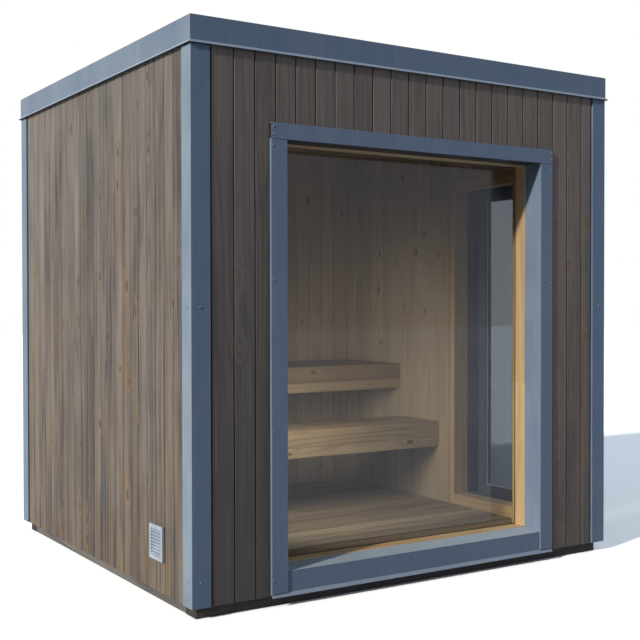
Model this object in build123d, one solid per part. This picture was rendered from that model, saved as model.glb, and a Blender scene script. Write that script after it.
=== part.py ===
"""Outdoor sauna cabin with a flat roof: framed walls in vertical boards, folded metal trims,
one deep window in the front, a framed glass door in the right wall and two bench tiers inside.

Millimetres, +Z up. X runs along the front and Y from the front to the back. The origin is the
centre of the base's underside, on the ground.
"""
import math
import os

from build123d import *

# Overall sizes, over the corner trims
cabin_width = 2300.0
cabin_depth = 2136.0
sheet = 2.0                    # thickness of the folded metal

# Base frame
base_height = 50.0
base_inset = 35.0
base_beam_width = 95.0
joist_width = 60.0
joist_count = 3

# Wall build-up, from the outside in
board_recess = 6.0             # board faces lie behind the faces of the corner trims
board_thickness = 20.0
wall_core = 150.0
door_wall_core = 215.0         # the wall that carries the door is deeper
lining_thickness = 14.0

# Corner trims and the shadow gap between trim and first board
corner_leg = 84.6
corner_gap = 8.8

# Floor, ceiling and roof
floor_deck_thickness = 40.0
duckboard_bearer_height = 18.0
duckboard_slat_thickness = 22.0
duckboard_slat_width = 90.0
duckboard_slat_gap = 12.0
duckboard_bearer_width = 45.0
duckboard_bearer_count = 4
duckboard_side_gap = 5.0
ceiling_above_trims = 2110.0
ceiling_thickness = 14.0
cladding_below_top = 44.0
roof_curb_width = 45.0
roof_slab_height = 208.0       # with the curb around it
roof_slab_thickness = 176.0    # at its high front edge
roof_fall = 30.0
roof_sheet_thickness = 4.0

# Roof fascia
fascia_height = 98.7
fascia_lip_height = 12.0
fascia_lip_kick = 11.0
fascia_overhang = 2.4

# Window casing, sill and frame
window_left_margin = 358.55    # from each side of the cabin to the casing
window_right_margin = 366.55
window_foot = -5.3             # lowest edge of the sill's lip, from the foot of the corner trims
window_below_ceiling = 166.5   # top of the casing, below the face of the ceiling
casing_face = 76.4
casing_head_face = 66.5
casing_stand = 9.0             # the casing stands in front of the corner trims
head_lap = 1.5                 # the head trim laps in front of the jamb trims
reveal_depth = 102.0           # metal reveal, from the corner trims' face inward
sill_front_top = 97.0
sill_slope = 9.0
sill_back_fold = 8.0
sill_face_setback = 8.0
sill_lip_height = 15.0
sill_lip_kick = 11.0
frame_bar = 40.0
frame_step = 3.0               # the wooden frame stands a little into the metal reveal
glass_setback = 171.0          # from the corner trims' face
window_glass_thickness = 8.0
glass_grip = 12.0

# Doorway and its frame in the right wall
doorway_offset = 270.0         # clear opening, from the front corner
doorway_width = 600.0
doorway_below_ceiling = 278.0  # top of the clear opening
jamb_thickness = 40.0
door_lining_depth = 98.0       # wooden reveal boards inside the metal frame
door_frame_depth = 127.0
kerb_height = 55.0             # the threshold, above the duckboard

# Door leaf
leaf_thickness = 45.0
leaf_overlap = 15.0            # the leaf covers the stops by this much
leaf_clearance = 5.0
lock_clearance = 8.0           # wider, because the leaf's inner corner swings out there
leaf_stile = 70.0
leaf_rebate_lap = 28.0         # lap over the threshold
door_glass_thickness = 8.0
door_glass_grip = 12.0
door_casing_face = 76.4
door_casing_margin = 10.0      # frame face left showing between the rebate and the casing

# Hinges and pull handles
hinge_radius = 8.0
hinge_stand = 1.0              # between the knuckles and the frame
hinge_pin_radius = 4.0
hinge_pin_clearance = 0.1
hinge_knuckle = 38.0
hinge_knuckle_gap = 0.5
hinge_flap = 3.0
hinge_flap_width = 40.0
hinge_end_distance = 180.0
handle_length = 420.0
handle_radius = 12.0
handle_stand = 45.0
handle_post_radius = 7.0
handle_post_inset = 50.0
handle_edge_distance = 45.0    # clears the jamb while the door swings
handle_height = 1020.0         # middle of the handle above the foot of the corner trims

# Benches
lower_bench_top = 451.0        # above the duckboard
lower_bench_depth = 361.0
lower_bench_offset = 1009.0    # from the front corner
lower_fascia_height = 142.0
upper_bench_top = 764.0
upper_bench_offset = 1370.0
upper_fascia_height = 146.0
bench_fascia_thickness = 26.0
bench_slat_thickness = 26.0
bench_slat_gap = 10.0
lower_slat_count = 4
upper_slat_count = 6
bench_bearer_height = 70.0
bench_bearer_width = 45.0
bench_bearer_count = 4
bench_back_gap = 10.0
cleat_thickness = 30.0
cleat_height = 60.0

# Vent in the left wall
vent_offset = 270.0            # from the front corner
vent_width = 130.0
vent_foot = 134.0              # above the foot of the corner trims
vent_height = 145.0
vent_stand = 12.0
vent_border = 17.0
vent_slats = 8
vent_slat_thickness = 1.5
vent_slat_angle = 40.0
vent_duct_margin = 8.0

# Planes that several pieces share
left = -cabin_width / 2
right = cabin_width / 2
front = -cabin_depth / 2
back = cabin_depth / 2
foot = base_height
core_face = board_recess + board_thickness
wall_total = core_face + wall_core + lining_thickness
door_wall_total = core_face + door_wall_core + lining_thickness
room_left = left + wall_total
room_right = right - door_wall_total
room_front = front + wall_total
room_back = back - wall_total
deck_top = foot + floor_deck_thickness
floor_top = deck_top + duckboard_bearer_height + duckboard_slat_thickness
ceiling_foot = foot + ceiling_above_trims
wall_top = ceiling_foot + ceiling_thickness
roof_top = wall_top + roof_slab_height + sheet
cladding_top = roof_top - cladding_below_top


def block(x_span, y_span, z_span):
    """A plain slab between its low and high faces along X, Y and Z."""
    spans = (x_span, y_span, z_span)
    size = [high - low for low, high in spans]
    centre = [(low + high) / 2 for low, high in spans]
    return Pos(*centre) * Box(*size)


def folded(points, thickness=sheet):
    """Section of sheet metal bent along the points, with its thickness to the left of the path."""
    edges = offset(Polyline(*points), thickness, kind=Kind.INTERSECTION, side=Side.LEFT).edges()
    return make_face(edges)


def upright(section, z_span):
    """A section drawn in plan, drawn out from its foot to its head."""
    low, high = z_span
    return Pos(0, 0, low) * extrude(section, high - low)


def along_front(section, x_span):
    """A section drawn as (Y, Z), drawn out along X."""
    low, high = x_span
    return Pos(low, 0, 0) * extrude(Plane.YZ * section, high - low, dir=(1, 0, 0))


def along_side(section, y_span):
    """A section drawn as (X, Z), drawn out along Y."""
    low, high = y_span
    return Pos(0, low, 0) * extrude(Plane.XZ * section, high - low, dir=(0, 1, 0))


def spread(count, low, high, width):
    """Centres of evenly spread pieces whose outer faces reach low and high."""
    step = (high - low - width) / (count - 1)
    return [low + width / 2 + step * index for index in range(count)]


def save(shape, node):
    """Write one named piece."""
    export_step(shape, f"parts/{node}.step")


def base_pieces():
    """Beams around the edge, and joists between the front and back beams."""
    outer_x = (left + base_inset, right - base_inset)
    outer_y = (front + base_inset, back - base_inset)
    inner_x = (outer_x[0] + base_beam_width, outer_x[1] - base_beam_width)
    inner_y = (outer_y[0] + base_beam_width, outer_y[1] - base_beam_width)
    z_span = (0, base_height)
    save(Compound([
        block(outer_x, (outer_y[0], inner_y[0]), z_span),
        block(outer_x, (inner_y[1], outer_y[1]), z_span),
    ]), "base_long_beams")
    save(Compound([
        block((outer_x[0], inner_x[0]), inner_y, z_span),
        block((inner_x[1], outer_x[1]), inner_y, z_span),
    ]), "base_side_beams")
    pitch = (inner_x[1] - inner_x[0]) / (joist_count + 1)
    joists = []
    for index in range(joist_count):
        centre = inner_x[0] + pitch * (index + 1)
        joists.append(block((centre - joist_width / 2, centre + joist_width / 2), inner_y, z_span))
    save(Compound(joists), "floor_joists")


def floor_pieces():
    """Deck under the walls, and the duckboard that lies on it in the room."""
    deck = block((left + core_face, right - core_face), (front + core_face, back - core_face),
                 (foot, deck_top))
    save(deck, "floor_deck")

    x_span = (room_left + duckboard_side_gap, room_right - duckboard_side_gap)
    y_low = room_front + duckboard_side_gap
    y_high = room_back - duckboard_side_gap
    slat_foot = deck_top + duckboard_bearer_height
    count = int((y_high - y_low + duckboard_slat_gap) // (duckboard_slat_width + duckboard_slat_gap))
    board = None
    for centre in spread(count, y_low, y_high, duckboard_slat_width):
        slat = block(x_span, (centre - duckboard_slat_width / 2, centre + duckboard_slat_width / 2),
                     (slat_foot, floor_top))
        board = slat if board is None else board + slat
    for centre in spread(duckboard_bearer_count, *x_span, duckboard_bearer_width):
        board += block((centre - duckboard_bearer_width / 2, centre + duckboard_bearer_width / 2),
                       (y_low, y_high), (deck_top, slat_foot))
    save(board, "duckboard")


# Window places, from the casing's outer size
window_left = left + window_left_margin
window_right = right - window_right_margin
casing_top = ceiling_foot - window_below_ceiling
casing_foot = foot + window_foot
casing_y = front - casing_stand
reveal_left = window_left + casing_face
reveal_right = window_right - casing_face
reveal_top = casing_top - casing_head_face
reveal_y = front + reveal_depth
sill_face_y = casing_y + sill_face_setback
sill_top = foot + sill_front_top
sill_back_top = sill_top + sill_slope
light_x = (reveal_left + frame_step, reveal_right - frame_step)
light_z = (sill_back_top + frame_step, reveal_top - frame_step)
hole_x = (light_x[0] - frame_bar, light_x[1] + frame_bar)
hole_z = (light_z[0] - frame_bar, light_z[1] + frame_bar)
boards_y = front + board_recess

# Door places, from the clear opening
clear_y = (front + doorway_offset, front + doorway_offset + doorway_width)
clear_head = ceiling_foot - doorway_below_ceiling
kerb_top = floor_top + kerb_height
door_hole_y = (clear_y[0] - jamb_thickness, clear_y[1] + jamb_thickness)
door_hole_top = clear_head + jamb_thickness
lining_outer = room_right + door_lining_depth
frame_outer = lining_outer + door_frame_depth
leaf_x = (frame_outer - leaf_thickness, frame_outer)
stop_outer = leaf_x[0] - leaf_clearance
leaf_y = (clear_y[0] - leaf_overlap, clear_y[1] + leaf_overlap)
leaf_z = (kerb_top - leaf_rebate_lap, clear_head + leaf_overlap)
rebate_y = (leaf_y[0] - lock_clearance, leaf_y[1] + leaf_clearance)
rebate_z = (leaf_z[0] - leaf_clearance, leaf_z[1] + leaf_clearance)
door_casing_y = (rebate_y[0] - door_casing_margin, rebate_y[1] + door_casing_margin)
door_casing_head = rebate_z[1] + door_casing_margin
boards_x = right - board_recess
hinge_x = frame_outer + hinge_stand + hinge_radius
hinge_y = (leaf_y[1] + rebate_y[1]) / 2

# Vent places
vent_y = (front + vent_offset, front + vent_offset + vent_width)
vent_z = (foot + vent_foot, foot + vent_foot + vent_height)
duct_y = (vent_y[0] + vent_border + vent_duct_margin, vent_y[1] - vent_border - vent_duct_margin)
duct_z = (vent_z[0] + vent_border + vent_duct_margin, vent_z[1] - vent_border - vent_duct_margin)


def wall_pieces():
    """Framed wall panels, with the window and vent cut through and the doorway between panels."""
    core_x = (left + core_face, right - core_face)
    core_y = (front + core_face, back - core_face)
    inner_y = (core_y[0] + wall_core, core_y[1] - wall_core)
    z_span = (deck_top, wall_top)
    front_y = (core_y[0], inner_y[0])
    window_hole = block(hole_x, front_y, hole_z)
    save(block(core_x, front_y, z_span) - window_hole, "front_wall")
    save(block(core_x, (inner_y[1], core_y[1]), z_span), "back_wall")

    left_x = (core_x[0], core_x[0] + wall_core)
    save(block(left_x, inner_y, z_span) - block(left_x, duct_y, duct_z), "left_wall")

    right_x = (core_x[1] - door_wall_core, core_x[1])
    save(block(right_x, (inner_y[0], door_hole_y[0]), z_span), "right_wall_front")
    save(block(right_x, (door_hole_y[1], inner_y[1]), z_span), "right_wall_rear")
    save(block(right_x, door_hole_y, (door_hole_top, wall_top)), "right_wall_over_door")


def cladding_pieces():
    """The layer of upright boards on each side, from trim to trim."""
    gap = corner_leg + corner_gap
    x_span = (left + gap, right - gap)
    y_span = (front + gap, back - gap)
    z_span = (foot, cladding_top)
    front_y = (boards_y, boards_y + board_thickness)
    save(block(x_span, front_y, z_span) - block(hole_x, front_y, hole_z), "front_cladding")
    save(block(x_span, (back - core_face, back - board_recess), z_span), "back_cladding")
    left_x = (left + board_recess, left + core_face)
    save(block(left_x, y_span, z_span) - block(left_x, duct_y, duct_z), "left_cladding")
    right_x = (right - core_face, boards_x)
    door_cut = block(right_x, door_hole_y, (foot, door_hole_top))
    save(block(right_x, y_span, z_span) - door_cut, "right_cladding")


def lining_pieces():
    """Wooden lining of the room's four walls and ceiling."""
    z_span = (deck_top, ceiling_foot)
    room_x = (room_left, room_right)
    front_y = (room_front - lining_thickness, room_front)
    save(block(room_x, front_y, z_span) - block(hole_x, front_y, hole_z), "front_lining")
    save(block(room_x, (room_back, room_back + lining_thickness), z_span), "back_lining")

    full_y = (room_front - lining_thickness, room_back + lining_thickness)
    left_x = (room_left - lining_thickness, room_left)
    save(block(left_x, full_y, z_span) - block(left_x, duct_y, duct_z), "left_lining")
    right_x = (room_right, room_right + lining_thickness)
    door_cut = block(right_x, door_hole_y, (deck_top, door_hole_top))
    save(block(right_x, full_y, z_span) - door_cut, "right_lining")
    save(block((left_x[0], right_x[1]), full_y, (ceiling_foot, wall_top)), "ceiling_lining")


def roof_pieces():
    """Roof slab as a shallow tray that falls to the back, its sheet, and the fascia around it."""
    x_span = (left + core_face, right - core_face)
    y_span = (front + core_face, back - core_face)
    slab = block(x_span, y_span, (wall_top, roof_top - sheet))
    tray_front = y_span[0] + roof_curb_width
    tray_back = y_span[1] - roof_curb_width
    tray_x = (x_span[0] + roof_curb_width, x_span[1] - roof_curb_width)
    high = wall_top + roof_slab_thickness
    low = high - roof_fall
    tray = Polygon((tray_front, high), (tray_back, low), (tray_back, roof_top),
                   (tray_front, roof_top), align=None)
    save(slab - along_front(tray, tray_x), "roof_slab")
    skin = Polygon((tray_front, high), (tray_back, low), (tray_back, low + roof_sheet_thickness),
                   (tray_front, high + roof_sheet_thickness), align=None)
    save(along_front(skin, tray_x), "roof_sheet")

    save(fascia_side(cabin_width, cabin_depth, 0), "fascia_front")
    save(fascia_side(cabin_width, cabin_depth, 180), "fascia_back")
    save(fascia_side(cabin_depth, cabin_width, -90), "fascia_left")
    save(fascia_side(cabin_depth, cabin_width, 90), "fascia_right")


def fascia_side(length, across, angle):
    """One folded fascia: a cap on the roof's curb, a face and a kicked-out lip, mitred at its ends."""
    face_y = -across / 2 - fascia_overhang
    lip_foot = roof_top - fascia_height - fascia_lip_height
    section = folded([
        (face_y - fascia_lip_kick, lip_foot),
        (face_y, lip_foot + fascia_lip_height),
        (face_y, roof_top),
        (-across / 2 + core_face + roof_curb_width, roof_top),
    ][::-1])
    reach = length / 2 + fascia_overhang + fascia_lip_kick
    side = along_front(section, (-reach, reach))
    outer = across / 2 + fascia_overhang + fascia_lip_kick
    depth = fascia_lip_kick + fascia_overhang + core_face + roof_curb_width
    mitre = Polygon((-reach, -outer), (reach, -outer), (reach - depth, depth - outer),
                    (depth - reach, depth - outer), align=None)
    side = side & upright(mitre, (lip_foot - fascia_lip_height, roof_top + sheet))
    return Rot(0, 0, angle) * side


def corner_trims():
    """Four folded corner trims, each with its edges returned to the wall."""
    section = folded([
        (core_face, corner_leg),
        (0, corner_leg),
        (0, 0),
        (corner_leg, 0),
        (corner_leg, core_face),
    ])
    z_top = roof_top - fascia_height - fascia_lip_height
    trims = []
    for x, y, turn in ((left, front, 0), (right, front, 90), (right, back, 180), (left, back, 270)):
        trims.append(Pos(x, y, 0) * Rot(0, 0, turn) * upright(section, (foot, z_top)))
    save(Compound(trims), "corner_trims")


def window_pieces():
    """Folded casing around the deep reveal, the wooden frame and its sheet of glass."""
    jamb_foot = casing_foot + sill_lip_height
    jamb_y = casing_y + head_lap
    jamb_section = folded([
        (window_left, boards_y),
        (window_left, jamb_y),
        (reveal_left, jamb_y),
        (reveal_left, boards_y),
    ])
    jamb = upright(jamb_section, (jamb_foot, reveal_top))
    jamb += block((reveal_left - sheet, reveal_left), (jamb_y, reveal_y), (sill_back_top, reveal_top))
    other = Pos(window_left + window_right, 0, 0) * mirror(jamb, about=Plane.YZ)
    save(Compound([jamb, other]), "window_casing_jambs")

    head_section = folded([
        (boards_y, casing_top),
        (casing_y, casing_top),
        (casing_y, reveal_top),
        (boards_y, reveal_top),
    ])
    head = along_front(head_section, (window_left, window_right))
    head += block((reveal_left - sheet, reveal_right + sheet), (casing_y, reveal_y),
                  (reveal_top, reveal_top + sheet))
    save(head, "window_casing_head")

    sill_section = folded([
        (reveal_y, sill_back_top - sill_back_fold),
        (reveal_y, sill_back_top),
        (sill_face_y, sill_top),
        (sill_face_y, jamb_foot),
    ])
    sill = along_front(sill_section, (reveal_left, reveal_right))
    lip_section = folded([
        (boards_y, jamb_foot),
        (sill_face_y, jamb_foot),
        (sill_face_y - sill_lip_kick, casing_foot),
    ])
    sill += along_front(lip_section, (window_left, window_right))
    save(sill, "window_sill")

    inner_y = room_front
    ring = block(hole_x, (boards_y, inner_y), hole_z) - block(light_x, (boards_y, inner_y), light_z)
    metal_seat = block((reveal_left - sheet, reveal_right + sheet), (boards_y, reveal_y),
                       (sill_top - frame_bar, reveal_top + sheet))
    glass_y = (front + glass_setback, front + glass_setback + window_glass_thickness)
    pane = block((light_x[0] - glass_grip, light_x[1] + glass_grip), glass_y,
                 (light_z[0] - glass_grip, light_z[1] + glass_grip))
    save(ring - metal_seat - pane, "window_frame")
    save(pane, "window_glass")


def door_surround():
    """Wooden reveal boards, the rebated frame with its threshold, and the casing outside."""
    lining_x = (room_right, lining_outer)
    reveal = block(lining_x, door_hole_y, (deck_top, door_hole_top))
    save(reveal - block(lining_x, clear_y, (kerb_top, clear_head)), "door_reveal")

    frame_x = (lining_outer, frame_outer)
    ring = block(frame_x, door_hole_y, (deck_top, door_hole_top))
    ring -= block(frame_x, clear_y, (kerb_top, clear_head))
    ring -= block((stop_outer, frame_outer), rebate_y, rebate_z)
    save(ring, "door_frame")

    casing_x = right + casing_stand
    jamb_section = folded([
        (boards_x, door_casing_y[0] - door_casing_face),
        (casing_x, door_casing_y[0] - door_casing_face),
        (casing_x, door_casing_y[0]),
        (boards_x, door_casing_y[0]),
    ])
    jamb = upright(jamb_section, (foot, door_casing_head))
    jamb += block((frame_outer, casing_x), (door_casing_y[0] - sheet, door_casing_y[0]),
                  (deck_top, door_casing_head))
    middle = (door_casing_y[0] + door_casing_y[1]) / 2
    other = Pos(0, 2 * middle, 0) * mirror(jamb, about=Plane.XZ)
    save(Compound([jamb, other]), "door_casing_jambs")
    head_section = folded([
        (boards_x, door_casing_head),
        (casing_x, door_casing_head),
        (casing_x, door_casing_head + door_casing_face),
        (boards_x, door_casing_head + door_casing_face),
    ])
    head = along_side(head_section, (door_casing_y[0] - door_casing_face,
                                     door_casing_y[1] + door_casing_face))
    head += block((frame_outer, casing_x), (door_casing_y[0] - sheet, door_casing_y[1] + sheet),
                  (door_casing_head, door_casing_head + sheet))
    save(head, "door_casing_head")

    step_x = casing_x - sill_face_setback
    sill_section = folded([
        (step_x, foot),
        (step_x, deck_top),
        (frame_outer, deck_top + sill_slope),
        (frame_outer, deck_top + sill_slope - sill_back_fold),
    ])
    save(along_side(sill_section, door_casing_y), "door_sill")


def door_leaf():
    """Framed leaf, its glass, and a pull handle on both faces."""
    outer = block(leaf_x, leaf_y, leaf_z)
    light_y = (leaf_y[0] + leaf_stile, leaf_y[1] - leaf_stile)
    light_height = (leaf_z[0] + leaf_stile, leaf_z[1] - leaf_stile)
    middle_x = (leaf_x[0] + leaf_x[1]) / 2
    glass_x = (middle_x - door_glass_thickness / 2, middle_x + door_glass_thickness / 2)
    glass = block(glass_x, (light_y[0] - door_glass_grip, light_y[1] + door_glass_grip),
                  (light_height[0] - door_glass_grip, light_height[1] + door_glass_grip))
    save(outer - block(leaf_x, light_y, light_height) - glass, "door_leaf")
    save(glass, "door_glass")

    handle_y = leaf_y[0] + handle_edge_distance
    middle_z = foot + handle_height
    bars = []
    for face_x, side in ((leaf_x[0], -1), (leaf_x[1], 1)):
        bar_x = face_x + side * handle_stand
        bar = Pos(bar_x, handle_y, middle_z) * Cylinder(handle_radius, handle_length)
        post_reach = handle_length / 2 - handle_post_inset
        for post_z in (middle_z - post_reach, middle_z + post_reach):
            post = Pos((face_x + bar_x) / 2, handle_y, post_z) * Rot(0, 90, 0)
            bar += post * Cylinder(handle_post_radius, handle_stand)
        bars.append(bar)
    save(Compound(bars), "door_handles")


def door_hinges():
    """Lift-off hinges: a lower knuckle with its pin on the frame, an upper one on the leaf."""
    fixed = []
    moving = []
    for foot_z in (leaf_z[0] + hinge_end_distance, (leaf_z[0] + leaf_z[1]) / 2 - hinge_knuckle,
                   leaf_z[1] - hinge_end_distance - 2 * hinge_knuckle):
        seam = foot_z + hinge_knuckle
        upper_foot = seam + hinge_knuckle_gap
        upper_top = upper_foot + hinge_knuckle
        knuckle = Pos(hinge_x, hinge_y, 0)
        lower = knuckle * upright(Circle(hinge_radius), (foot_z, seam))
        lower += knuckle * upright(Circle(hinge_pin_radius), (foot_z, upper_top))
        lower += block((frame_outer, frame_outer + hinge_flap), (rebate_y[1], door_casing_y[1]),
                       (foot_z, seam))
        fixed.append(lower)
        upper = knuckle * upright(Circle(hinge_radius), (upper_foot, upper_top))
        upper += block((frame_outer, frame_outer + hinge_flap),
                       (leaf_y[1] - hinge_flap_width, leaf_y[1]), (upper_foot, upper_top))
        bore = upright(Circle(hinge_pin_radius + hinge_pin_clearance), (foot_z, upper_top))
        moving.append(upper - knuckle * bore)
    save(Compound(fixed), "hinge_pins")
    save(Compound(moving), "hinge_leaves")


def bench_tier(front_offset, top_above_floor, depth, fascia_height, slat_count):
    """Seat of slats on cross bearers, and the plain board in front of it."""
    y_low = front + front_offset
    top = floor_top + top_above_floor
    slat_foot = top - bench_slat_thickness
    x_span = (room_left, room_right)
    seat_y = y_low + bench_fascia_thickness
    seat_back = y_low + depth
    slat_width = (seat_back - seat_y - bench_slat_gap * slat_count) / slat_count
    seat = None
    for index in range(slat_count):
        slat_y = seat_y + bench_slat_gap + index * (slat_width + bench_slat_gap)
        slat = block(x_span, (slat_y, slat_y + slat_width), (slat_foot, top))
        seat = slat if seat is None else seat + slat
    bearer_z = (slat_foot - bench_bearer_height, slat_foot)
    for centre in spread(bench_bearer_count, *x_span, bench_bearer_width):
        bearer_x = (centre - bench_bearer_width / 2, centre + bench_bearer_width / 2)
        seat += block(bearer_x, (seat_y, seat_back), bearer_z)
    fascia = block(x_span, (y_low, seat_y), (top - fascia_height, top))
    cleat_z = (bearer_z[0] - cleat_height, bearer_z[0])
    cleats = [
        block((room_left, room_left + cleat_thickness), (seat_y, seat_back), cleat_z),
        block((room_right - cleat_thickness, room_right), (seat_y, seat_back), cleat_z),
    ]
    return seat, fascia, cleats


def bench_pieces():
    """Two bench tiers that run from wall to wall on cleats."""
    upper_depth = cabin_depth - wall_total - bench_back_gap - upper_bench_offset
    lower = bench_tier(lower_bench_offset, lower_bench_top, lower_bench_depth, lower_fascia_height,
                       lower_slat_count)
    upper = bench_tier(upper_bench_offset, upper_bench_top, upper_depth, upper_fascia_height,
                       upper_slat_count)
    save(lower[0], "lower_bench")
    save(upper[0], "upper_bench")
    save(Compound([lower[1], upper[1]]), "bench_fascias")
    save(Compound(lower[2] + upper[2]), "bench_cleats")


def vent_grille():
    """Square vent cover with sloping louvre slats in a raised border."""
    back_x = left + board_recess
    face_x = left - vent_stand + board_recess
    x_span = (face_x, back_x)
    inner_y = (vent_y[0] + vent_border, vent_y[1] - vent_border)
    inner_z = (vent_z[0] + vent_border, vent_z[1] - vent_border)
    grille = block(x_span, vent_y, vent_z) - block(x_span, inner_y, inner_z)
    pitch = (inner_z[1] - inner_z[0]) / vent_slats
    slat_width = (back_x - face_x) / math.cos(math.radians(vent_slat_angle)) - vent_slat_thickness
    slat = Box(slat_width, inner_y[1] - inner_y[0], vent_slat_thickness)
    for index in range(vent_slats):
        centre = Pos((face_x + back_x) / 2, (inner_y[0] + inner_y[1]) / 2,
                     inner_z[0] + pitch * (index + 0.5))
        grille += centre * Rot(0, -vent_slat_angle, 0) * slat
    save(grille, "vent_grille")


os.makedirs("parts", exist_ok=True)
base_pieces()
floor_pieces()
wall_pieces()
cladding_pieces()
lining_pieces()
roof_pieces()
corner_trims()
window_pieces()
door_surround()
door_leaf()
door_hinges()
bench_pieces()
vent_grille()
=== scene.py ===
"""Outdoor sauna cabin: boards, glass, fixings and finishes around the cabin's frame."""
import math
import random

import bmesh
import bpy
from mathutils import Matrix, Vector


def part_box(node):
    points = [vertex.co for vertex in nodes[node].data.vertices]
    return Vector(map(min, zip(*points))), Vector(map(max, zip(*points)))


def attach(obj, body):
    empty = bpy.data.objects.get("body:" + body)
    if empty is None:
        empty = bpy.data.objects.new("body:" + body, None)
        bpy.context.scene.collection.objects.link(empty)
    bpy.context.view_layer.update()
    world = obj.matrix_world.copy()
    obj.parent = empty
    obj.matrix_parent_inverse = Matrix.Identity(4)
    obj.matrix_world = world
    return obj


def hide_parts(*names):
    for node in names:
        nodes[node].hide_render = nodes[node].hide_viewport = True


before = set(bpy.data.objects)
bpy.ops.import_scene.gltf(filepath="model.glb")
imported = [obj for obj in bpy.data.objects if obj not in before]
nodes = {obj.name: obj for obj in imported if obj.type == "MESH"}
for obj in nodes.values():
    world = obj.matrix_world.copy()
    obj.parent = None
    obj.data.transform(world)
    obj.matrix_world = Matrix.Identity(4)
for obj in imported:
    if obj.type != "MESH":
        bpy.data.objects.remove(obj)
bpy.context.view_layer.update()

dice = random.Random(11)

# Board sizes, in metres
FRONT_PITCH = 0.0974
LEFT_PITCH = 0.0886
LINING_PITCH = 0.0925
FIRST_FRONT_SEAM = 0.1955      # from the corner of the front
FRONT_GAP = 0.0045
LEFT_GAP = 0.006
LINING_GAP = 0.003
BOARD_CHAMFER = 0.0024
LINING_CHAMFER = 0.003
BOARD_THICKNESS = 0.020
LINING_THICKNESS = 0.014
EDGE_ROUND = 0.003
TONGUE_SPAN = (0.6, 0.85)      # depths of a tongue's two faces, as shares of a board's thickness
JOINT_SHADOW_SHARE = 0.5              # depth from which a joint gets painted shadow with dirt, as a share of the thickness
SLIMMEST_BOARD = 0.020
SHORTEST_PIECE = 0.004
VENT_LIP = 0.025               # rim of the vent that covers the boards' ends

# Edges of the metal, in metres and degrees
FOLD_ROUND = 0.0006
LEAF_ROUND = 0.0015
FOLD_ANGLE = 35.0              # an edge that turns by less stays as it is
FLAT_ANGLE = 1.0
WELD_DISTANCE = 0.00002
MERGE_DISTANCE = 0.00001

# Shades of the boards: tone, warmth (the share of stain) and share of bleached patches
FRONT_TONES = (0.10, 0.42)
FRONT_WARMTHS = (0.05, 0.35)
FRONT_GAIN = (0.18, 0.5)       # tone and warmth gained from the front's left end to its right
LEFT_TONES = (0.16, 0.62)
LEFT_WARMTHS = (0.2, 0.9)
LEFT_BLEACH = (0.0, 0.5)
MOST_WARMTH = 0.6
LINING_WARMTH = 0.5
PLAIN_TONES = (0.3, 0.65)
LINING_TONES = (0.35, 0.8)
SEAT_TONES = (0.3, 0.7)
SEAT_BEARER_TONES = (0.2, 0.5)
FLOOR_TONES = (0.2, 0.6)
FLOOR_BEARER_TONES = (0.2, 0.4)
UPPER_FRONT_TONES = (0.75, 0.1)    # lower and upper plank of a bench's front
LOWER_FRONT_TONES = (0.8, 0.6)
PALE_SLAT_SHADE = (1.0, 0.4, 0.0)
BAR_SHADE = (0.6, 0.5, 0.0)
HEAD_BAR_SHADE = (1.0, 0.0, 1.0)
# pine of the doorway, paler and warmer as painted light
LIT_DOORWAY_SHADE = (0.9, 0.9, 0.0)
EVEN_SHADE = (0.5, 0.0, 0.0)
BAR_STEP = 0.15                # tone by which the lengths of a glued bar differ
MID_HEIGHT = 1.2
FRONT_LIFT = (0.28, 0.0)       # tone and warmth gained per metre of height
LEFT_LIFT = (0.17, -0.45)
JOINT_SHADOW_TONE = -0.8              # painted shadow with dirt at the bottom of the joints between boards

# Grain and coatings
KNOT_CELLS = (6.5, 3.6)        # cells per metre, across and along, with a knot at most in each
KNOT_RADII = (0.035, 0.085)    # as shares of a cell
RINGS_ACROSS = 11.0            # growth rings per metre across a board
GRAIN_RELIEF = 0.0006
PAINT_ROUGHNESS = 0.54
PAINT_GLOSS = 0.35
SKIN_RELIEF = 0.0006
PAINTED_UNDERSIDE_SHADE = (10, 11, 14)       # painted shade, near black, on painted metal that faces down
SUNNY_SHARE = (0.52, 0.6)      # chalky bleach with painted sunlight on the faces to the left, on the window and the wall
CORNER_SHARE = 0.4             # more of it on the corner trim
LEFT_CHALK_AND_SUNLIGHT = 0.45          # shares of the chalky colour; on faces to the left and on tops it is also painted sunlight
UPWARD_DUST_AND_LIGHT = 0.6
RUN_CHALK = 0.05
SPECK_CHALK = 0.08
STEEL_ROUGHNESS = 0.3
GLASS_BEND = 1.5               # index of refraction
GLASS_MIRROR = 2.0
GLASS_HAZE = 0.035

# Bench and floor slats, in metres
SEAT_SLATS = {"lower_bench": 4, "upper_bench": 6}
SEAT_GAP = 0.010
SEAT_THICKNESS = 0.026
BEARER_WIDTH = 0.045
BEARER_COUNT = 4
FLOOR_SLAT = 0.090
FLOOR_GAP = 0.012
FLOOR_THICKNESS = 0.022
PALE_SLAT = 4                  # number of the slat that is paler than the others
FASCIA_JOINT = 0.38            # share of a bench front's height below its joint
FASCIA_GAP = 0.0008
PLANK_EASE = 0.002

# Bars and beads of the window and the door, in metres
BAR_WIDTH = 0.040
BAR_EASE = 0.0015
BAR_JOINTS = (0.58, 0.86)      # heights of the glued joints in the window's upright bars
BAR_SLANT = -0.9               # rise of those joints for each metre across
KERB_TOP = 0.185               # height of the doorway's threshold over the ground
SEAL_WIDTH = 0.004
GLASS_GRIP = 0.012             # edge of the door's glass that the leaf covers
BEAD_WIDTH = 0.006
BEAD_DEPTH = 0.008
STRIP_EASE = 0.001

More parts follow.
